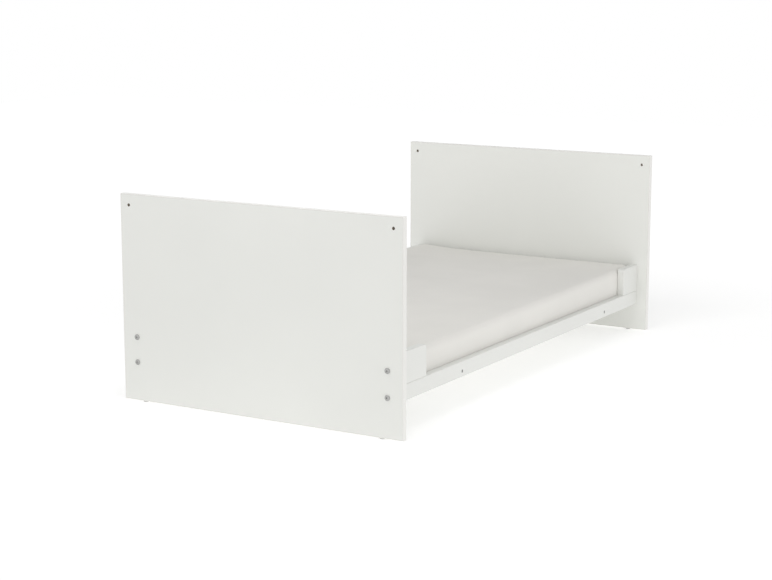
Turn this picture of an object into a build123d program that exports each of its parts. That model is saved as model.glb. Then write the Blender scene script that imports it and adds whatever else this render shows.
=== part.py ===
"""Toddler bed: two flat end boards, low side rails with corner plates, a slatted base and a mattress.

Units are millimetres. The origin is on the floor under the middle of the bed. +Z is up, +Y points to the
headboard and +X is the right side, seen from the foot.
"""
from build123d import *
from math import atan, degrees
import os

# Mattress, which the whole frame is built around
MATTRESS_LENGTH = 1400.0
MATTRESS_WIDTH = 700.0
MATTRESS_SIDE_HEIGHT = 87.0
MATTRESS_CROWN = 5.0
MATTRESS_DRAW_IN = 2.0
MATTRESS_CORNER_RADIUS = 42.0
MATTRESS_TOP_RADIUS = 28.0
MATTRESS_BOTTOM_RADIUS = 24.0
COVER_THICKNESS = 3.0
MATTRESS_SIDE_GAP = 3.0
MATTRESS_END_GAP = 14.0
MATTRESS_SEAT_GAP = 0.3

# End boards, with their edge bands included in the height
BOARD_HEIGHT = 522.0
BOARD_THICKNESS = 16.0
BOARD_OVERHANG = 32.0
EDGE_BAND_THICKNESS = 2.0
EDGE_BAND_ROUND = 0.9
TOP_HOLE_DIAMETER = 8.0
TOP_HOLE_FROM_SIDE = 26.0
TOP_HOLE_FROM_TOP = 28.0

# Glides under the boards
GLIDE_DIAMETER = 14.0
GLIDE_HEIGHT = 3.0
GLIDE_CHAMFER = 1.0
GLIDE_FROM_SIDE = 60.0
GLIDE_PIN_DIAMETER = 3.0
GLIDE_PIN_LENGTH = 16.0

# Side rails and the corner plates that stand on their ends
RAIL_THICKNESS = 20.0
RAIL_HEIGHT = 40.0
RAIL_UNDERSIDE = 81.0
RAIL_ROUND = 2.0
PLATE_HEIGHT = 78.0
FOOT_PLATE_LENGTH = 150.0
HEAD_PLATE_LENGTH = 100.0
PLATE_CORNER_RADIUS = 10.0
PLATE_ROUND = 1.5

# Dowels between plates and rails
DOWEL_DIAMETER = 8.0
DOWEL_DEPTH = 14.0
DOWEL_CHAMFER = 1.0
DOWEL_FROM_END = 18.0
DOWEL_PITCH = 32.0

# Connector bolts through the boards, and the barrel nuts they pull on
BOLT_DIAMETER = 6.0
BOLT_PITCH = 64.0
BOLT_HEAD_DIAMETER = 14.0
BOLT_HEAD_HEIGHT = 2.4
BOLT_HEAD_ROUND = 1.2
BOLT_SOCKET_WIDTH = 5.0
BOLT_SOCKET_DEPTH = 1.8
BOLT_RUNOUT = 9.0
BARREL_NUT_DIAMETER = 10.0
BARREL_NUT_LENGTH = 13.0
BARREL_NUT_FROM_END = 34.0

# Slats, and the ledges inside the rails that carry them
SLAT_COUNT = 14
SLAT_WIDTH = 60.0
SLAT_THICKNESS = 10.0
SLAT_RECESS = 8.0
SLAT_ROUND = 2.5
SLAT_END_GAP = 1.0
SLAT_FROM_BOARD = 20.0
LEDGE_WIDTH = 20.0
LEDGE_HEIGHT = 18.0
LEDGE_ROUND = 1.5
LEDGE_END_GAP = 0.5

# Cross bearers between the rails
BEARER_WIDTH = 45.0
BEARER_HEIGHT = 22.0
BEARER_ROUND = 2.0
FOOT_BEARER_FROM_BOARD = 330.0
HEAD_BEARER_FROM_BOARD = 236.0
BEARER_SCREW_FROM_TOP = 7.0

# Countersunk screws: shank diameter, head diameter and how far they hold in the second piece
SLAT_SCREW_DIAMETER = 3.5
SLAT_SCREW_HEAD = 7.0
SLAT_SCREW_HOLD = 8.0
LEDGE_SCREW_DIAMETER = 4.0
LEDGE_SCREW_HEAD = 8.0
LEDGE_SCREW_HOLD = 13.0
BEARER_SCREW_DIAMETER = 5.0
BEARER_SCREW_HEAD = 9.0
BEARER_SCREW_HOLD = 42.0
BEARER_SOCKET_WIDTH = 4.0
BEARER_SOCKET_DEPTH = 2.0

# Clearances, each measured on one side of the piece
BOLT_CLEARANCE = 0.5
FIT_CLEARANCE = 0.1
BORE_SPARE = 3.0

# Places that follow from the sizes above
inner_width = MATTRESS_WIDTH + 2 * MATTRESS_SIDE_GAP
inner_length = MATTRESS_LENGTH + 2 * MATTRESS_END_GAP
rail_x = inner_width / 2 + RAIL_THICKNESS / 2
rail_outer_x = inner_width / 2 + RAIL_THICKNESS
rail_z = RAIL_UNDERSIDE + RAIL_HEIGHT / 2
rail_top = RAIL_UNDERSIDE + RAIL_HEIGHT
board_width = 2 * (rail_outer_x + BOARD_OVERHANG)
board_top = GLIDE_HEIGHT + BOARD_HEIGHT
board_y = inner_length / 2 + BOARD_THICKNESS / 2
bolt_heights = (rail_z, rail_z + BOLT_PITCH)
bolt_hold = BARREL_NUT_FROM_END + BOLT_RUNOUT
slat_top = rail_top - SLAT_RECESS
slat_underside = slat_top - SLAT_THICKNESS
mattress_underside = slat_top + MATTRESS_SEAT_GAP
ledge_x = inner_width / 2 - LEDGE_WIDTH / 2
ledge_z = slat_underside - LEDGE_HEIGHT / 2
bearer_z = slat_underside - BEARER_HEIGHT / 2
bearer_screw_z = slat_underside - BEARER_SCREW_FROM_TOP
bearer_places = {
    "foot": -inner_length / 2 + FOOT_BEARER_FROM_BOARD,
    "head": inner_length / 2 - HEAD_BEARER_FROM_BOARD,
}
slat_pitch = (inner_length - 2 * SLAT_FROM_BOARD - SLAT_WIDTH) / (SLAT_COUNT - 1)
slat_places = [-inner_length / 2 + SLAT_FROM_BOARD + SLAT_WIDTH / 2 + i * slat_pitch for i in range(SLAT_COUNT)]
ENDS = {"foot": -1, "head": 1}
SIDES = {"right": 1, "left": -1}
PLATE_LENGTHS = {"foot": FOOT_PLATE_LENGTH, "head": HEAD_PLATE_LENGTH}


def rod(radius, start, end):
    """A round rod between two points."""
    path = Vector(*end) - Vector(*start)
    return extrude(Plane(start, z_dir=path) * Circle(radius), path.length)


def bar(plane, width, height, length, rounding):
    """A bar with rounded long edges, centred on the plane and running along its normal."""
    section = plane * RectangleRounded(width, height, rounding)
    return extrude(section, length / 2, both=True)


def countersunk(radius, head_radius, start, end):
    """A screw blank: a 90 degree head flush with start, and a shank to end."""
    cone_height = head_radius - radius
    axis = Plane(start, z_dir=Vector(*end) - Vector(*start))
    cone = axis * Pos(0, 0, cone_height / 2) * Cone(head_radius, radius, cone_height)
    return rod(radius, start, end) + cone


def hex_socket(width, depth, start, direction):
    """The hexagonal recess of a socket head, sunk from start along direction."""
    section = Plane(start, z_dir=direction) * RegularPolygon(width / 2, 6, major_radius=False)
    return extrude(section, depth)


def mirrored(shapes):
    """The same pieces on the left side."""
    return [mirror(shape, about=Plane.YZ) for shape in shapes]


def plate_dowel_places(end):
    """Where the two dowels of a right-hand corner plate stand along the rail."""
    free_end = ENDS[end] * (inner_length / 2 - PLATE_LENGTHS[end])
    return [free_end + ENDS[end] * (DOWEL_FROM_END + k * DOWEL_PITCH) for k in range(2)]


def ledge_screw_places():
    """Every second gap between slats, unless a cross bearer is in the way."""
    gaps = [(a + b) / 2 for a, b in zip(slat_places, slat_places[1:])][::2]
    reach = BEARER_WIDTH / 2 + LEDGE_SCREW_HEAD
    return [y for y in gaps if all(abs(y - bearer) > reach for bearer in bearer_places.values())]


def ledge_sections():
    """The three stretches of each ledge, between the boards and the cross bearers."""
    stops = [-inner_length / 2, bearer_places["foot"], bearer_places["head"], inner_length / 2]
    halves = [0.0, BEARER_WIDTH / 2, BEARER_WIDTH / 2, 0.0]
    sections = []
    for k in range(3):
        start = stops[k] + halves[k] + LEDGE_END_GAP
        end = stops[k + 1] - halves[k + 1] - LEDGE_END_GAP
        sections.append((start, end))
    return sections


def end_bores(end, height):
    """Bolt bore and barrel nut hole in the end of a right-hand rail or plate."""
    sign = ENDS[end]
    face = sign * inner_length / 2
    bore_end = face - sign * (bolt_hold + BORE_SPARE)
    nut_y = face - sign * BARREL_NUT_FROM_END
    nut_depth = rail_x + BARREL_NUT_LENGTH / 2 + FIT_CLEARANCE
    bore = rod(BOLT_DIAMETER / 2 + BOLT_CLEARANCE, (rail_x, face, height), (rail_x, bore_end, height))
    nut_hole = rod(
        BARREL_NUT_DIAMETER / 2 + FIT_CLEARANCE, (inner_width / 2, nut_y, height), (nut_depth, nut_y, height)
    )
    return bore + nut_hole


def dowel_rod(place, radius, depth):
    return rod(radius, (rail_x, place, rail_top - depth), (rail_x, place, rail_top + depth))


def slat_screw(side, place, clearance):
    x = SIDES[side] * ledge_x
    start = (x, place, slat_top)
    end = (x, place, slat_underside - SLAT_SCREW_HOLD)
    return countersunk(SLAT_SCREW_DIAMETER / 2 + clearance, SLAT_SCREW_HEAD / 2 + clearance, start, end)


def ledge_screw(place, clearance):
    """A screw from the inside of a right-hand ledge into its rail."""
    start = (inner_width / 2 - LEDGE_WIDTH, place, ledge_z)
    end = (inner_width / 2 + LEDGE_SCREW_HOLD, place, ledge_z)
    return countersunk(LEDGE_SCREW_DIAMETER / 2 + clearance, LEDGE_SCREW_HEAD / 2 + clearance, start, end)


def bearer_screw(place, clearance):
    """A screw from the outside of a right-hand rail into the end of a cross bearer."""
    start = (rail_outer_x, place, bearer_screw_z)
    end = (inner_width / 2 - BEARER_SCREW_HOLD, place, bearer_screw_z)
    return countersunk(BEARER_SCREW_DIAMETER / 2 + clearance, BEARER_SCREW_HEAD / 2 + clearance, start, end)


def glide_pin(sign, side, clearance):
    x = side * (board_width / 2 - GLIDE_FROM_SIDE)
    return rod(
        GLIDE_PIN_DIAMETER / 2 + clearance,
        (x, sign * board_y, GLIDE_HEIGHT),
        (x, sign * board_y, GLIDE_HEIGHT + GLIDE_PIN_LENGTH),
    )


def end_board(end):
    """The board of one end without its edge bands, drilled for bolts, glides and the top corner holes."""
    sign = ENDS[end]
    inset = 2 * EDGE_BAND_THICKNESS
    middle = GLIDE_HEIGHT + BOARD_HEIGHT / 2
    board = Pos(0, sign * board_y, middle) * Box(board_width - inset, BOARD_THICKNESS, BOARD_HEIGHT - inset)
    inner = sign * inner_length / 2
    outer = inner + sign * BOARD_THICKNESS
    for side in SIDES.values():
        top_x = side * (board_width / 2 - TOP_HOLE_FROM_SIDE)
        top_z = board_top - TOP_HOLE_FROM_TOP
        board -= rod(TOP_HOLE_DIAMETER / 2, (top_x, inner, top_z), (top_x, outer, top_z))
        for height in bolt_heights:
            radius = BOLT_DIAMETER / 2 + BOLT_CLEARANCE
            board -= rod(radius, (side * rail_x, inner, height), (side * rail_x, outer, height))
        board -= glide_pin(sign, side, FIT_CLEARANCE)
    return board


def edge_bands(end):
    """Four strips round a board: upright ones over the full height, level ones between them."""
    sign = ENDS[end]
    y = sign * board_y
    middle = GLIDE_HEIGHT + BOARD_HEIGHT / 2
    half_band = EDGE_BAND_THICKNESS / 2
    strips = []
    for side in SIDES.values():
        strip = Pos(side * (board_width / 2 - half_band), y, middle) * Box(
            EDGE_BAND_THICKNESS, BOARD_THICKNESS, BOARD_HEIGHT
        )
        outer_face = strip.faces().sort_by(Axis.X)[-1 if side > 0 else 0]
        strips.append(fillet(outer_face.edges(), EDGE_BAND_ROUND))
    for level in (-1, 1):
        strip = Pos(0, y, middle + level * (BOARD_HEIGHT / 2 - half_band)) * Box(
            board_width - 2 * EDGE_BAND_THICKNESS, BOARD_THICKNESS, EDGE_BAND_THICKNESS
        )
        outer_face = strip.faces().sort_by(Axis.Z)[-1 if level > 0 else 0]
        strip = fillet(outer_face.edges().filter_by(Axis.X), EDGE_BAND_ROUND)
        if level < 0:
            for side in SIDES.values():
                strip -= glide_pin(sign, side, FIT_CLEARANCE)
        strips.append(strip)
    return strips


def floor_glides():
    glides = []
    for sign in ENDS.values():
        for side in SIDES.values():
            disc = Pos(0, 0, GLIDE_HEIGHT / 2) * Cylinder(GLIDE_DIAMETER / 2, GLIDE_HEIGHT)
            disc = chamfer(disc.edges().filter_by(GeomType.CIRCLE).sort_by(Axis.Z)[0], GLIDE_CHAMFER)
            place = Pos(side * (board_width / 2 - GLIDE_FROM_SIDE), sign * board_y, 0)
            glides.append(place * disc + glide_pin(sign, side, 0.0))
    return glides


def right_rail():
    rail = Pos(rail_x, 0, rail_z) * bar(Plane.XZ, RAIL_THICKNESS, RAIL_HEIGHT, inner_length, RAIL_ROUND)
    for end in ENDS:
        rail -= end_bores(end, bolt_heights[0])
        for place in plate_dowel_places(end):
            rail -= dowel_rod(place, DOWEL_DIAMETER / 2 + FIT_CLEARANCE, DOWEL_DEPTH + FIT_CLEARANCE)
    for place in bearer_places.values():
        rail -= bearer_screw(place, FIT_CLEARANCE)
    for place in ledge_screw_places():
        rail -= ledge_screw(place, FIT_CLEARANCE)
    return rail


def right_plate(end):
    """A corner plate: square where it meets board and rail, with its free upper corner rounded."""
    length = PLATE_LENGTHS[end]
    outline = Rectangle(length, PLATE_HEIGHT)
    free_corner = outline.vertices().group_by(Axis.X)[0].sort_by(Axis.Y)[-1]
    outline = fillet(free_corner, PLATE_CORNER_RADIUS)
    plate = extrude(Plane.YZ * outline, RAIL_THICKNESS / 2, both=True)
    board_end = plate.faces().sort_by(Axis.Y)[-1]
    sides = plate.faces().sort_by(Axis.X)
    arrises = [edge for side in (sides[0], sides[-1]) for edge in side.edges()]
    free_arrises = [edge for edge in arrises if edge.center().Y < board_end.center().Y - PLATE_ROUND]
    plate = fillet(free_arrises, PLATE_ROUND)
    if ENDS[end] < 0:
        plate = mirror(plate, about=Plane.XZ)
    middle_y = ENDS[end] * (inner_length / 2 - length / 2)
    plate = Pos(rail_x, middle_y, rail_top + PLATE_HEIGHT / 2) * plate
    plate -= end_bores(end, bolt_heights[1])
    for place in plate_dowel_places(end):
        plate -= dowel_rod(place, DOWEL_DIAMETER / 2 + FIT_CLEARANCE, DOWEL_DEPTH + FIT_CLEARANCE)
    return plate


def right_dowels():
    dowels = []
    for end in ENDS:
        for place in plate_dowel_places(end):
            dowel = dowel_rod(place, DOWEL_DIAMETER / 2, DOWEL_DEPTH)
            dowels.append(chamfer(dowel.edges().filter_by(GeomType.CIRCLE), DOWEL_CHAMFER))
    return dowels


def right_bolts():
    """Connector bolts with low round socket heads on the outer faces of the boards."""
    bolts = []
    for sign in ENDS.values():
        inner = sign * inner_length / 2
        outer = inner + sign * BOARD_THICKNESS
        crown = outer + sign * BOLT_HEAD_HEIGHT
        for height in bolt_heights:
            head = rod(BOLT_HEAD_DIAMETER / 2, (rail_x, outer, height), (rail_x, crown, height))
            rim = head.edges().filter_by(GeomType.CIRCLE).sort_by(Axis.Y)[0 if sign < 0 else -1]
            head = fillet(rim, BOLT_HEAD_ROUND)
            head -= hex_socket(BOLT_SOCKET_WIDTH, BOLT_SOCKET_DEPTH, (rail_x, crown, height), (0, -sign, 0))
            shank = rod(BOLT_DIAMETER / 2, (rail_x, outer, height), (rail_x, inner - sign * bolt_hold, height))
            bolts.append(head + shank)
    return bolts


def right_barrel_nuts():
    nuts = []
    for sign in ENDS.values():
        y = sign * (inner_length / 2 - BARREL_NUT_FROM_END)
        for height in bolt_heights:
            half = BARREL_NUT_LENGTH / 2
            nut = rod(BARREL_NUT_DIAMETER / 2, (rail_x - half, y, height), (rail_x + half, y, height))
            reach = BARREL_NUT_DIAMETER
            nut -= rod(
                BOLT_DIAMETER / 2 + FIT_CLEARANCE, (rail_x, y - reach, height), (rail_x, y + reach, height)
            )
            nuts.append(nut)
    return nuts


def right_ledge():
    """The ledge inside a rail, cut into three by the cross bearers."""
    sections = []
    for start, end in ledge_sections():
        ledge = Pos(ledge_x, (start + end) / 2, ledge_z) * bar(
            Plane.XZ, LEDGE_WIDTH, LEDGE_HEIGHT, end - start, LEDGE_ROUND
        )
        for place in ledge_screw_places():
            if start < place < end:
                ledge -= ledge_screw(place, FIT_CLEARANCE)
        for place in slat_places:
            if start - SLAT_SCREW_HEAD < place < end + SLAT_SCREW_HEAD:
                ledge -= slat_screw("right", place, FIT_CLEARANCE)
        sections.append(ledge)
    return sections


def cross_bearer(end):
    place = bearer_places[end]
    bearer = Pos(0, place, bearer_z) * bar(Plane.YZ, BEARER_WIDTH, BEARER_HEIGHT, inner_width, BEARER_ROUND)
    screw = bearer_screw(place, FIT_CLEARANCE)
    bearer -= screw
    bearer -= mirror(screw, about=Plane.YZ)
    for slat_place in slat_places:
        if abs(slat_place - place) < BEARER_WIDTH / 2 + SLAT_SCREW_HEAD:
            for side in SIDES:
                bearer -= slat_screw(side, slat_place, FIT_CLEARANCE)
    return bearer


def right_bearer_screws():
    """Screws with hexagon sockets, flush with the outer face of the rail."""
    screws = []
    for place in bearer_places.values():
        socket = hex_socket(
            BEARER_SOCKET_WIDTH, BEARER_SOCKET_DEPTH, (rail_outer_x, place, bearer_screw_z), (-1, 0, 0)
        )
        screws.append(bearer_screw(place, 0.0) - socket)
    return screws


def slat(place):
    length = inner_width - 2 * SLAT_END_GAP
    middle = slat_top - SLAT_THICKNESS / 2
    board = Pos(0, place, middle) * bar(Plane.YZ, SLAT_WIDTH, SLAT_THICKNESS, length, SLAT_ROUND)
    for side in SIDES:
        board -= slat_screw(side, place, FIT_CLEARANCE)
    return board


def mattress_outside():
    """The covered mattress: drawn in above and below its middle, crowned across its width, rounded all over."""
    middle = mattress_underside + MATTRESS_SIDE_HEIGHT / 2
    crown_top = mattress_underside + MATTRESS_SIDE_HEIGHT + MATTRESS_CROWN
    draft = degrees(atan(MATTRESS_DRAW_IN / (MATTRESS_SIDE_HEIGHT / 2)))
    plan = Pos(0, 0, middle) * RectangleRounded(MATTRESS_WIDTH, MATTRESS_LENGTH, MATTRESS_CORNER_RADIUS)
    upper = extrude(plan, crown_top - middle, taper=draft)
    lower = extrude(plan, mattress_underside - middle, taper=draft)
    reach = MATTRESS_WIDTH / 2 + MATTRESS_CORNER_RADIUS
    shoulder = crown_top - MATTRESS_CROWN * (2 * reach / MATTRESS_WIDTH) ** 2
    walls = Polyline((-reach, shoulder), (-reach, 0), (reach, 0), (reach, shoulder))
    crown_line = ThreePointArc((reach, shoulder), (0, crown_top), (-reach, shoulder))
    crowned_slab = extrude(Plane.XZ * make_face([walls, crown_line]), MATTRESS_LENGTH, both=True)
    body = (upper + lower) & crowned_slab
    body = fillet(body.faces().sort_by(Axis.Z)[-1].edges(), MATTRESS_TOP_RADIUS)
    return fillet(body.faces().sort_by(Axis.Z)[0].edges(), MATTRESS_BOTTOM_RADIUS)


def foam_block(inset):
    """The flat foam block inside the cover, with edges bevelled to stay under the cover's rounding."""
    side_inset = MATTRESS_DRAW_IN + inset
    plan = RectangleRounded(
        MATTRESS_WIDTH - 2 * side_inset, MATTRESS_LENGTH - 2 * side_inset, MATTRESS_CORNER_RADIUS - side_inset
    )
    block = Pos(0, 0, mattress_underside + inset) * extrude(plan, MATTRESS_SIDE_HEIGHT - 2 * inset)
    block = chamfer(block.faces().sort_by(Axis.Z)[-1].edges(), MATTRESS_TOP_RADIUS - inset)
    return chamfer(block.faces().sort_by(Axis.Z)[0].edges(), MATTRESS_BOTTOM_RADIUS - inset)


def save(name, shapes):
    solids = [solid for shape in shapes for solid in shape.solids()]
    piece = solids[0] if len(solids) == 1 else Compound(children=solids)
    piece.label = name
    export_step(piece, f"parts/{name}.step")


os.makedirs("parts", exist_ok=True)

boards = {"foot": "footboard", "head": "headboard"}
for end, name in boards.items():
    save(f"{name}_panel", [end_board(end)])
    save(f"{name}_edge_bands", edge_bands(end))
    save(f"{end}_cross_bearer", [cross_bearer(end)])
    plate = right_plate(end)
    save(f"right_{end}_corner_plate", [plate])
    save(f"left_{end}_corner_plate", mirrored([plate]))

pairs = {"side_rail": [right_rail()], "slat_ledge": right_ledge()}
for name, pieces in pairs.items():
    save(f"right_{name}", pieces)
    save(f"left_{name}", mirrored(pieces))

fasteners = {
    "connector_bolts": right_bolts(),
    "barrel_nuts": right_barrel_nuts(),
    "plate_dowels": right_dowels(),
    "bearer_screws": right_bearer_screws(),
    "ledge_screws": [ledge_screw(place, 0.0) for place in ledge_screw_places()],
    "slat_screws": [slat_screw("right", place, 0.0) for place in slat_places],
}
for name, pieces in fasteners.items():
    save(name, pieces + mirrored(pieces))

for number, place in enumerate(slat_places, start=1):
    save(f"slat_{number:02d}", [slat(place)])

save("floor_glides", floor_glides())
save("mattress_cover", [mattress_outside() - foam_block(COVER_THICKNESS)])
save("mattress_core", [foam_block(COVER_THICKNESS + FIT_CLEARANCE)])
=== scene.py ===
"""Looks of the toddler bed: its materials, a soft mattress, a white studio and the photograph's camera.

Units are metres, in the frame of the CAD model: +Z up, +Y to the headboard, +X the right side.
"""
import math

import bmesh
import bpy
import numpy as np
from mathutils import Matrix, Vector


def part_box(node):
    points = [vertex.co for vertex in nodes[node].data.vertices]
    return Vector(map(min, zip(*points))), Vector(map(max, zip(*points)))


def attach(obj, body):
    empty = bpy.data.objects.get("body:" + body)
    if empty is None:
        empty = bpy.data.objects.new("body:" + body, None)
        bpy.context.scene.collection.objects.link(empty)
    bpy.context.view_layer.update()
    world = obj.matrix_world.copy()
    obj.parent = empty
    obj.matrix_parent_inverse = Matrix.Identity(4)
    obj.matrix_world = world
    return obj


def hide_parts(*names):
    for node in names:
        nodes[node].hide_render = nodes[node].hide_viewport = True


# Camera, fitted to the corners of both boards in the photograph; lens and sensor in millimetres
CAMERA_PLACE = (2.3949, -4.1692, 1.1026)
CAMERA_AZIMUTH = math.radians(30.62)
CAMERA_ELEVATION = math.radians(10.613)
CAMERA_LENS = 83.27
CAMERA_SENSOR = 36.0

# Studio
HORIZON_LIGHT = 0.86
ZENITH_LIGHT = 0.42
OVER_LAMP = {"place": (0.2, -0.9, 1.8), "aim": (0.0, 0.714, 0.2), "size": (1.6, 1.0), "power": 10.8}
RIGHT_LAMP = {"place": (4.5, 0.2, 0.5), "aim": (0.0, 0.2, 0.15), "size": (3.0, 0.9), "power": 10.1}

# Floor: what it throws back as light, and what the camera sees of it near the bed and further off
FLOOR_SIZE = 14.0
FLOOR_BOUNCE = 0.92
FLOOR_LIGHT = 0.445
FLOOR_SHADOW = 0.90
FLOOR_FLECK = 0.01
NEAR_GLOW = 0.37
NEAR_GLOW_RADIUS = 0.9
FAR_GLOW = 0.52
FAR_GLOW_RADIUS = 2.6

# Colours, linear
PURE_WHITE = (1.0, 1.0, 1.0)
BOARD_WHITE = (0.815, 0.820, 0.785)
EDGE_WHITE = (0.835, 0.830, 0.800)
LACQUER_WHITE = (0.780, 0.785, 0.755)
CHIPBOARD = (0.50, 0.42, 0.33)
GLUE_LINE = (0.60, 0.58, 0.53)
FABRIC_WHITE = (0.840, 0.826, 0.788)
BEECH_LIGHT = (0.66, 0.47, 0.30)
BEECH_DARK = (0.52, 0.34, 0.20)
ZINC = (0.44, 0.44, 0.43)
GLIDE_GREY = (0.55, 0.55, 0.53)

# Surfaces
NOISE_BOUNDS = (0.3, 0.7)
PATCH_BOUNDS = (0.35, 0.65)
GLUE_WIDTH = 0.0003
GLUE_FADED = 0.0006
GLUE_STRENGTH = 0.7
KNIT_PITCH = 0.0012

# Mattress: a rounding is its width on the top and its height on the side
GRID = 0.010
EDGE_CROWDING = 1.3
CORNER_RADIUS = 0.020
RIGHT_ROUND = (0.014, 0.020)
LEFT_ROUND = (0.010, 0.026)
END_ROUND = (0.008, 0.026)
LOWER_ROUND = (0.007, 0.008)
CROWN = 0.004
CROWN_FLATNESS = 4
LEFT_RISE = 0.008
LEFT_STEEPNESS = 3
RIGHT_SAG = 0.015
RIGHT_STEEPNESS = 2
HEAD_GAP = 0.012
RAIL_PLAY = 0.0003

# Cloth simulation that fills out the cover
SWELL_PRESSURE = 4.0
SWELL_FRAMES = 20
SWELL_CAP = 0.002
SWELL_EVENING = 12
HELD_HEIGHT = 0.0025

# The least length that another is divided by
TINY = 1e-9

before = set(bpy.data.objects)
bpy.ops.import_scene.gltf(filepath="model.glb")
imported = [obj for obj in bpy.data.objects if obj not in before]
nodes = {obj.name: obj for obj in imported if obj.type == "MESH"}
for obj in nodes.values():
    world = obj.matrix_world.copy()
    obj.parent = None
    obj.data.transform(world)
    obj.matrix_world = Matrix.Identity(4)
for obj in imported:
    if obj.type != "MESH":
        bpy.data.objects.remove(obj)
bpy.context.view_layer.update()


def add(tree, kind, inputs, **settings):
    """A new node: inputs are linked if they are sockets and set if they are values."""
    node = tree.nodes.new(kind)
    for name, value in settings.items():
        setattr(node, name, value)
    for name, value in inputs.items():
        if isinstance(value, bpy.types.NodeSocket):
            tree.links.new(value, node.inputs[name])
        else:
            node.inputs[name].default_value = value
    return node


def math_node(tree, operation, a, b=0.0):
    return add(tree, "ShaderNodeMath", {0: a, 1: b}, operation=operation).outputs[0]


def vector_node(tree, operation, a, b):
    return add(tree, "ShaderNodeVectorMath", {0: a, 1: b}, operation=operation).outputs[0]


def axes_of(tree, vector):
    """The x, y and z of a vector."""
    return add(tree, "ShaderNodeSeparateXYZ", {0: vector}).outputs


def facing(tree):
    """The x, y and z of the direction that the surface faces."""
    return axes_of(tree, tree.nodes.new("ShaderNodeNewGeometry").outputs["Normal"])


def remap(tree, value, low, high, to_low=0.0, to_high=1.0):
    inputs = {"Value": value, "From Min": low, "From Max": high, "To Min": to_low, "To Max": to_high}
    return add(tree, "ShaderNodeMapRange", inputs).outputs["Result"]


def cloud(tree, place, scale, detail=3.0, stretch=(1.0, 1.0, 1.0)):
    """Noise from 0 to 1, with its grain drawn out where stretch is small."""
    inputs = {"Vector": vector_node(tree, "MULTIPLY", place, stretch), "Scale": scale, "Detail": detail}
    return add(tree, "ShaderNodeTexNoise", inputs).outputs["Fac"]


def spread(tree, noise, low=0.0, high=1.0, bounds=NOISE_BOUNDS):
    """Noise, which seldom leaves its bounds, spread over the way from low to high."""
    return remap(tree, noise, *bounds, low, high)


def opaque(colour):
    """A colour with its full alpha; a socket stays as it is."""
    return colour if isinstance(colour, bpy.types.NodeSocket) else (*colour, 1.0)


def blend(tree, share, first, second):
    """The first colour where share is 0, the second where it is 1."""
    # A mix node has its two colours in sockets 6 and 7 and their blend in output 2
    inputs = {0: share, 6: opaque(first), 7: opaque(second)}
    return add(tree, "ShaderNodeMix", inputs, data_type="RGBA").outputs[2]


def tint(colour, factor):
    return tuple(channel * factor for channel in colour)


def mottled(tree, place, colour, scale, darker=0.985, lighter=1.01):
    """A colour that is uneven in large, soft patches."""
    patches = spread(tree, cloud(tree, place, scale), bounds=PATCH_BOUNDS)
    return blend(tree, patches, tint(colour, darker), tint(colour, lighter))


def bump(tree, height, depth, below=None):
    inputs = {"Height": height, "Distance": depth, "Strength": 1.0}
    if below is not None:
        inputs["Normal"] = below
    return add(tree, "ShaderNodeBump", inputs).outputs["Normal"]


def start_material(name):
    """An empty material: itself, its nodes, its shader and the place on the object."""
    material = bpy.data.materials.new(name)
    material.use_nodes = True
    tree = material.node_tree
    place = tree.nodes.new("ShaderNodeTexCoord").outputs["Object"]
    return material, tree, tree.nodes["Principled BSDF"], place


def shade(tree, surface, colour, roughness, normal):
    """Links a material's finished colour, roughness and normal to its shader."""
    for name, socket in (("Base Color", colour), ("Roughness", roughness), ("Normal", normal)):
        tree.links.new(socket, surface.inputs[name])


def board_material(node):
    """White melamine with a pearl grain, a thin glue line along the edge bands and raw chipboard in bores."""
    material, tree, surface, place = start_material(f"melamine_{node}")
    low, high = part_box(node)
    x, _, z = axes_of(tree, place)
    from_side = math_node(tree, "SUBTRACT", high.x, math_node(tree, "ABSOLUTE", x))
    from_top = math_node(tree, "SUBTRACT", high.z, z)
    from_foot = math_node(tree, "SUBTRACT", z, low.z)
    from_edge = math_node(tree, "MINIMUM", from_side, math_node(tree, "MINIMUM", from_top, from_foot))
    glue = remap(tree, from_edge, GLUE_WIDTH, GLUE_FADED, GLUE_STRENGTH, 0.0)

    # All edges have bands, so a face that looks to neither end of the bed is the wall of a bore
    in_bore = math_node(tree, "LESS_THAN", math_node(tree, "ABSOLUTE", facing(tree)[1]), 0.5)

    white = blend(tree, glue, mottled(tree, place, BOARD_WHITE, scale=2.5), GLUE_LINE)
    flakes = spread(tree, cloud(tree, place, scale=700.0, detail=5.0))
    chips = blend(tree, flakes, tint(CHIPBOARD, 0.45), CHIPBOARD)
    pearl = cloud(tree, place, scale=850.0, detail=2.0)
    wiped = cloud(tree, place, scale=9.0, detail=4.0)
    shade(
        tree, surface,
        colour=blend(tree, in_bore, white, chips),
        roughness=spread(tree, wiped, 0.40, 0.50),
        normal=bump(tree, pearl, depth=0.00006),
    )
    return material


def edge_band_material():
    """Smooth plastic band, a shade lighter than the board, with faint lines along its length."""
    material, tree, surface, place = start_material("edge_band")
    lines = cloud(tree, place, scale=500.0, detail=2.0, stretch=(0.02, 1.0, 0.02))
    shade(
        tree, surface,
        colour=mottled(tree, place, EDGE_WHITE, scale=6.0),
        roughness=spread(tree, lines, 0.32, 0.42),
        normal=bump(tree, lines, depth=0.00003),
    )
    return material


def lacquer_material(name, along):
    """White paint on wood: the grain, drawn out along one axis, shows faintly through it."""
    material, tree, surface, place = start_material(name)
    drawn_out = tuple(0.03 if axis == along else 1.0 for axis in range(3))
    grain = cloud(tree, place, scale=260.0, detail=4.0, stretch=drawn_out)
    peel = cloud(tree, place, scale=420.0, detail=1.0)
    shade(
        tree, surface,
        colour=mottled(tree, place, LACQUER_WHITE, scale=4.0),
        roughness=spread(tree, grain, 0.34, 0.44),
        normal=bump(tree, peel, depth=0.00004, below=bump(tree, grain, depth=0.00010)),
    )
    return material


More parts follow.
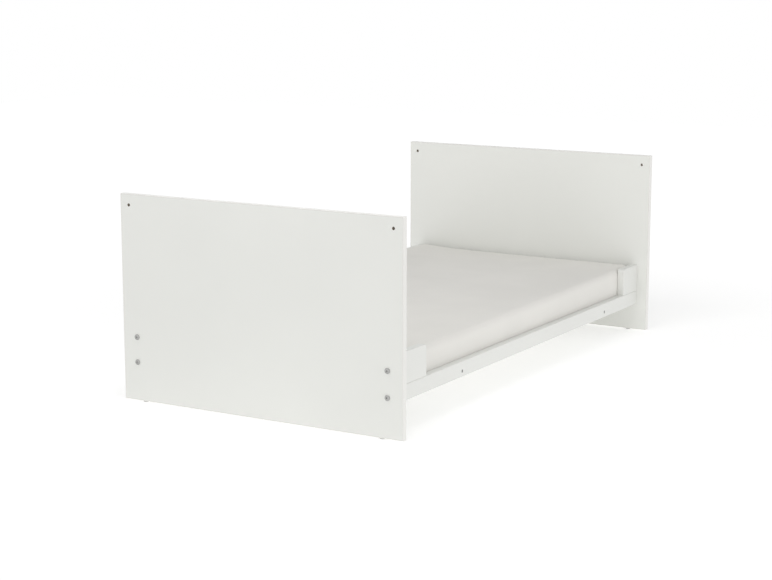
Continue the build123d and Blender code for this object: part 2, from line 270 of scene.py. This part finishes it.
def beech_material():
    """Turned beech: fine upright fibres with darker flecks and an open, matt surface."""
    material, tree, surface, place = start_material("beech_dowel")
    fibres = cloud(tree, place, scale=700.0, detail=4.0, stretch=(1.0, 1.0, 0.05))
    flecks = cloud(tree, place, scale=1600.0, detail=1.0, stretch=(1.0, 1.0, 0.15))
    wood = blend(tree, spread(tree, fibres), BEECH_LIGHT, BEECH_DARK)
    flecked = remap(tree, flecks, 0.6, 0.7, 0.0, 0.4)
    shade(
        tree, surface,
        colour=blend(tree, flecked, wood, tint(BEECH_DARK, 0.7)),
        roughness=spread(tree, fibres, 0.55, 0.70),
        normal=bump(tree, fibres, depth=0.00015),
    )
    return material


def zinc_material():
    """Zinc-plated steel with slight cloudiness and turning marks too fine to count."""
    material, tree, surface, place = start_material("zinc_steel")
    patches = spread(tree, cloud(tree, place, scale=160.0), bounds=PATCH_BOUNDS)
    marks = cloud(tree, place, scale=1800.0, detail=2.0)
    surface.inputs["Metallic"].default_value = 1.0
    shade(
        tree, surface,
        colour=blend(tree, patches, tint(ZINC, 0.88), tint(ZINC, 1.06)),
        roughness=remap(tree, patches, 0.0, 1.0, 0.30, 0.42),
        normal=bump(tree, marks, depth=0.00003),
    )
    return material


def glide_material():
    """Moulded grey plastic with a spark-eroded grain."""
    material, tree, surface, place = start_material("glide_plastic")
    grain = cloud(tree, place, scale=1500.0, detail=2.0)
    shade(
        tree, surface,
        colour=blend(tree, grain, tint(GLIDE_GREY, 0.94), tint(GLIDE_GREY, 1.04)),
        roughness=spread(tree, grain, 0.50, 0.62),
        normal=bump(tree, grain, depth=0.00005),
    )
    return material


def knit_loops(tree, place):
    """Loops of the knit, from 0 to 1: waves along each axis, weaker where the surface faces that axis."""
    wobble = add(tree, "ShaderNodeTexNoise", {"Vector": place, "Scale": 120.0, "Detail": 1.0})
    shift = vector_node(tree, "MULTIPLY", wobble.outputs["Color"], (KNIT_PITCH / 2,) * 3)
    loops = 0.0
    for axis, face in zip(axes_of(tree, vector_node(tree, "ADD", place, shift)), facing(tree)):
        wave = math_node(tree, "SINE", math_node(tree, "MULTIPLY", axis, 2 * math.pi / KNIT_PITCH))
        lying = math_node(tree, "SUBTRACT", 1.0, math_node(tree, "ABSOLUTE", face))
        loops = math_node(tree, "ADD", loops, math_node(tree, "MULTIPLY", wave, lying))
    return remap(tree, loops, -2.0, 2.0)


def knit_material():
    """Matt jersey: fine loops in both directions of the cloth, with soft creases, uneven whiteness and shade
    painted into the colour between the loops.
    """
    material, tree, surface, place = start_material("cover_jersey")
    loops = knit_loops(tree, place)
    creases = cloud(tree, place, scale=14.0, detail=2.0)
    white = mottled(tree, place, FABRIC_WHITE, scale=5.0, darker=0.98, lighter=1.015)
    # Painted shade: where the knit sinks between its loops, the colour moves towards a dimmer copy of the
    # white
    painted_shade_between_loops = remap(tree, loops, 0.0, 1.0, 0.10, 0.0)
    surface.inputs["Sheen Weight"].default_value = 0.08
    surface.inputs["Sheen Roughness"].default_value = 0.5
    surface.inputs["Specular IOR Level"].default_value = 0.2
    shade(
        tree, surface,
        colour=blend(tree, painted_shade_between_loops, white, tint(FABRIC_WHITE, 0.55)),
        roughness=remap(tree, loops, 0.0, 1.0, 0.95, 0.82),
        normal=bump(tree, loops, depth=0.0001, below=bump(tree, creases, depth=0.0005)),
    )
    return material


def dress(names, material):
    """Gives the named nodes a material."""
    for name in names:
        nodes[name].data.materials.clear()
        nodes[name].data.materials.append(material)


def new_object(name, data):
    """A new object in the scene, for a mesh, a lamp or a camera."""
    thing = bpy.data.objects.new(name, data)
    bpy.context.scene.collection.objects.link(thing)
    return thing


def applied(thing):
    """The thing's mesh with its modifiers applied."""
    graph = bpy.context.evaluated_depsgraph_get()
    return bpy.data.meshes.new_from_object(thing.evaluated_get(graph))


def points_of(mesh):
    """The places of a mesh's points, one row each."""
    places = np.empty(len(mesh.vertices) * 3)
    mesh.vertices.foreach_get("co", places)
    return places.reshape(-1, 3)


def set_points(mesh, places):
    """Moves a mesh's points to these places."""
    mesh.vertices.foreach_set("co", places.ravel())
    mesh.update()


def grid_block(low, high):
    """A block whose faces are cut into a grid, finer towards the edges."""
    form = bmesh.new()
    bmesh.ops.create_cube(form, size=1.0)
    for corner in form.verts:
        corner.co = [low[axis] if corner.co[axis] < 0 else high[axis] for axis in range(3)]
    for axis in range(3):
        along = [edge for edge in form.edges if abs((edge.verts[1].co - edge.verts[0].co)[axis]) > GRID]
        cuts = round((high[axis] - low[axis]) / GRID) - 1
        bmesh.ops.subdivide_edges(form, edges=along, cuts=cuts)
    mesh = bpy.data.meshes.new("mattress")
    form.to_mesh(mesh)
    form.free()
    middle, half = (low + high) / 2, (high - low) / 2
    share = (points_of(mesh) - middle) / half
    crowded = np.sign(share) * (1 - np.clip(1 - np.abs(share), 0, 1) ** EDGE_CROWDING)
    set_points(mesh, middle + half * crowded)
    return mesh


def quarter_round(a, b):
    """Bends the corner of a square, where a and b reach 1, into a quarter circle."""
    return a * np.sqrt(1 - b ** 2 / 2), b * np.sqrt(1 - a ** 2 / 2)


def rounded(places, low, high):
    """Rounds a block's upright corners, then its top edges, each side its own way, and its lower edges."""
    middle = (low + high) / 2
    straight = (high - low)[:2] / 2 - CORNER_RADIUS
    side = np.sign(places[:, :2] - middle[:2])
    plan = np.abs(places[:, :2] - middle[:2])
    height = places[:, 2].copy()
    past = np.clip((plan - straight) / CORNER_RADIUS, 0, 1)
    bent = np.stack(quarter_round(past[:, 0], past[:, 1]), axis=1)
    plan = np.minimum(plan, straight) + CORNER_RADIUS * bent

    # How far each point lies inside the outline, and which way is out from there
    past = plan - straight
    reach = np.linalg.norm(np.maximum(past, 0), axis=1)
    in_corner = (past > 0).all(axis=1)
    depth = CORNER_RADIUS - np.where(in_corner, reach, past.max(axis=1))
    radial = past / np.maximum(reach, TINY)[:, None]
    outward = np.where(in_corner[:, None], radial, np.eye(2)[past.argmax(axis=1)])

    side_round = np.where(side[:, :1] > 0, RIGHT_ROUND, LEFT_ROUND)
    top_round = outward[:, :1] ** 2 * side_round + outward[:, 1:] ** 2 * END_ROUND
    lower_round = np.full_like(top_round, LOWER_ROUND)
    for edge_round, edge_height in ((top_round, high[2]), (lower_round, low[2])):
        inward, upright = edge_round.T
        a = np.clip(1 - depth / inward, 0, 1)
        b = np.clip(1 - np.abs(edge_height - height) / upright, 0, 1)
        bent_a, bent_b = quarter_round(a, b)
        plan = plan - ((a - bent_a) * inward)[:, None] * outward
        height = height - np.sign(edge_height - middle[2]) * (b - bent_b) * upright
    return np.column_stack((middle[:2] + side * plan, height))


def crowned(places, low, high):
    """Raises the top in the middle and on the left by the head, and lowers it on the right by the foot."""
    middle = (low + high) / 2
    share = (places - middle) / ((high - low) / 2)
    across, along = (np.clip(1 - share[:, axis] ** CROWN_FLATNESS, 0, 1) for axis in (0, 1))
    left, right = (np.clip(sign * share[:, 0], 0, 1) for sign in (-1, 1))
    by_head, by_top = (np.clip(0.5 + share[:, axis] / 2, 0, 1) for axis in (1, 2))
    rise = CROWN * across * along
    rise += LEFT_RISE * left ** LEFT_STEEPNESS * by_head
    rise -= RIGHT_SAG * right ** RIGHT_STEEPNESS * (1 - by_head)
    shaped = places.copy()
    shaped[:, 2] += rise * by_top
    return shaped


def evened(values, mesh, rounds):
    """Averages values at the points of a mesh with those at their neighbours, several times over."""
    ends = np.array([edge.vertices[:] for edge in mesh.edges])
    near = np.bincount(ends.ravel(), minlength=len(values))[:, None]
    for _ in range(rounds):
        total = np.zeros_like(values)
        np.add.at(total, ends[:, 0], values[ends[:, 1]])
        np.add.at(total, ends[:, 1], values[ends[:, 0]])
        values = (values + total / near) / 2
    return values


def swell(thing, underside):
    """Lets the cover fill out as cloth under pressure, with its underside held on the slats."""
    mesh = thing.data
    before = points_of(mesh)
    held = [int(i) for i in np.nonzero(before[:, 2] < underside + HELD_HEIGHT)[0]]
    thing.vertex_groups.new(name="held").add(held, 1.0, "REPLACE")
    cloth = thing.modifiers.new("cloth", "CLOTH")
    cloth.settings.use_pressure = True
    cloth.settings.uniform_pressure_force = SWELL_PRESSURE
    cloth.settings.vertex_group_mass = "held"
    cloth.settings.effector_weights.gravity = 0.0
    cloth.point_cache.frame_start = 1
    cloth.point_cache.frame_end = SWELL_FRAMES
    for step in range(1, SWELL_FRAMES + 1):
        bpy.context.scene.frame_set(step)
    swollen = applied(thing)
    after = points_of(swollen)
    bpy.data.meshes.remove(swollen)
    thing.modifiers.remove(cloth)
    bpy.context.scene.frame_set(1)
    move = after - before
    length = np.linalg.norm(move, axis=1, keepdims=True)
    move *= np.minimum(1.0, SWELL_CAP / np.maximum(length, TINY))
    set_points(mesh, before + evened(move, mesh, SWELL_EVENING))


def make_mattress():
    """The covered mattress: a rounded block, crowned, swollen as cloth between the rails and subdivided."""
    low, high = (np.array(corner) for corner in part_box("mattress_cover"))
    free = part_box("right_side_rail")[0].x - RAIL_PLAY
    low[0], high[0] = -free - SWELL_CAP, free + SWELL_CAP
    high[1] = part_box("headboard_panel")[0].y - HEAD_GAP + SWELL_CAP
    high[2] -= CROWN + SWELL_CAP
    thing = new_object("mattress", grid_block(low, high))
    set_points(thing.data, crowned(rounded(points_of(thing.data), low, high), low, high))
    swell(thing, low[2])
    places = points_of(thing.data)
    places[:, 0] = np.clip(places[:, 0], -free, free)
    places[:, 1] = np.minimum(places[:, 1], high[1] - SWELL_CAP)
    places[:, 2] = np.maximum(places[:, 2], low[2])
    set_points(thing.data, places)
    thing.data.polygons.foreach_set("use_smooth", [True] * len(thing.data.polygons))
    finer = thing.modifiers.new("finer", "SUBSURF")
    finer.levels = 1
    finer.render_levels = 1
    return thing


def turn_to(thing, direction):
    """Turns a camera or a lamp so that it looks in a direction."""
    thing.rotation_euler = direction.to_track_quat("-Z", "Y").to_euler()


def make_camera():
    """The photograph's camera."""
    data = bpy.data.cameras.new("photo_camera")
    data.sensor_width = CAMERA_SENSOR
    data.lens = CAMERA_LENS
    camera = new_object("photo_camera", data)
    camera.location = CAMERA_PLACE
    level = math.cos(CAMERA_ELEVATION)
    back_x = math.sin(CAMERA_AZIMUTH) * level
    back_y = -math.cos(CAMERA_AZIMUTH) * level
    turn_to(camera, -Vector((back_x, back_y, math.sin(CAMERA_ELEVATION))))
    bpy.context.scene.camera = camera


def make_lamp(name, place, aim, size, power):
    """A rectangular lamp that the camera doesn't see."""
    data = bpy.data.lights.new(name, "AREA")
    data.shape = "RECTANGLE"
    data.size, data.size_y = size
    data.energy = power
    lamp = new_object(name, data)
    lamp.location = place
    turn_to(lamp, Vector(aim) - Vector(place))
    lamp.visible_camera = False


def show_or_light(tree, light, shown):
    """Two shaders in one: shown is what the camera and reflections see, light is what lights the bed."""
    path = tree.nodes.new("ShaderNodeLightPath").outputs
    seen = math_node(tree, "MAXIMUM", path["Is Camera Ray"], path["Is Glossy Ray"])
    seen = math_node(tree, "MAXIMUM", seen, path["Is Transmission Ray"])
    inputs = {0: seen, 1: light.outputs[0], 2: shown.outputs[0]}
    return add(tree, "ShaderNodeMixShader", inputs).outputs[0]


def make_world():
    """White to the eye; as a light, brighter towards the horizon than overhead."""
    world = bpy.data.worlds.new("studio")
    bpy.context.scene.world = world
    world.use_nodes = True
    tree = world.node_tree
    ray = tree.nodes.new("ShaderNodeTexCoord").outputs["Generated"]
    strength = remap(tree, axes_of(tree, ray)[2], 0.0, 1.0, HORIZON_LIGHT, ZENITH_LIGHT)
    light = add(tree, "ShaderNodeBackground", {"Color": opaque(PURE_WHITE), "Strength": strength})
    shown = add(tree, "ShaderNodeBackground", {"Color": opaque(PURE_WHITE), "Strength": 1.0})
    tree.links.new(show_or_light(tree, light, shown), tree.nodes["World Output"].inputs["Surface"])


def floor_material():
    """Pale paper, lit from below: white to the eye, with the bed's shadow left on it."""
    material, tree, surface, place = start_material("floor_paper")
    tree.nodes.remove(surface)
    bounce = tint(PURE_WHITE, FLOOR_BOUNCE)
    flecks = cloud(tree, place, scale=60.0)
    pale = blend(tree, flecks, tint(bounce, 1 - FLOOR_FLECK), tint(bounce, 1 + FLOOR_FLECK))
    paper = add(tree, "ShaderNodeBsdfDiffuse", {"Color": pale})
    below = add(tree, "ShaderNodeEmission", {"Strength": FLOOR_LIGHT})
    light = add(tree, "ShaderNodeAddShader", {0: paper.outputs[0], 1: below.outputs[0]})

    shadow = add(tree, "ShaderNodeBsdfDiffuse", {"Color": opaque(tint(PURE_WHITE, FLOOR_SHADOW))})
    distance = add(tree, "ShaderNodeVectorMath", {0: place}, operation="LENGTH").outputs["Value"]
    strength = remap(tree, distance, NEAR_GLOW_RADIUS, FAR_GLOW_RADIUS, NEAR_GLOW, FAR_GLOW)
    glow = add(tree, "ShaderNodeEmission", {"Strength": strength})
    shown = add(tree, "ShaderNodeAddShader", {0: shadow.outputs[0], 1: glow.outputs[0]})
    tree.links.new(show_or_light(tree, light, shown), tree.nodes["Material Output"].inputs["Surface"])
    return material


def make_floor():
    """The floor, which is part of the stage."""
    mesh = bpy.data.meshes.new("floor")
    half = FLOOR_SIZE / 2
    corners = [(-half, -half, 0), (half, -half, 0), (half, half, 0), (-half, half, 0)]
    mesh.from_pydata(corners, [], [(0, 1, 2, 3)])
    floor = new_object("floor", mesh)
    mesh.materials.append(floor_material())


bpy.context.scene.view_settings.view_transform = "Standard"
make_camera()
make_world()
make_floor()
make_lamp("over_lamp", **OVER_LAMP)
make_lamp("right_lamp", **RIGHT_LAMP)

for board in ("footboard_panel", "headboard_panel"):
    dress([board], board_material(board))
dress(["footboard_edge_bands", "headboard_edge_bands"], edge_band_material())
fasteners = [n for n in nodes if n.endswith(("_screws", "_bolts", "_nuts"))]
along_bed = [n for n in nodes if n.endswith(("side_rail", "corner_plate", "slat_ledge"))]
slats = [n for n in nodes if n.startswith("slat_") and n not in fasteners]
bearers = [n for n in nodes if n.endswith("cross_bearer")]
dress(along_bed, lacquer_material("lacquer_along", along=1))
dress(slats + bearers, lacquer_material("lacquer_across", along=0))
dress(["plate_dowels"], beech_material())
dress(fasteners, zinc_material())
dress(["floor_glides"], glide_material())

jersey = knit_material()
mattress = make_mattress()
mattress.data.materials.append(jersey)
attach(mattress, "mattress")
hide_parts("mattress_cover", "mattress_core")
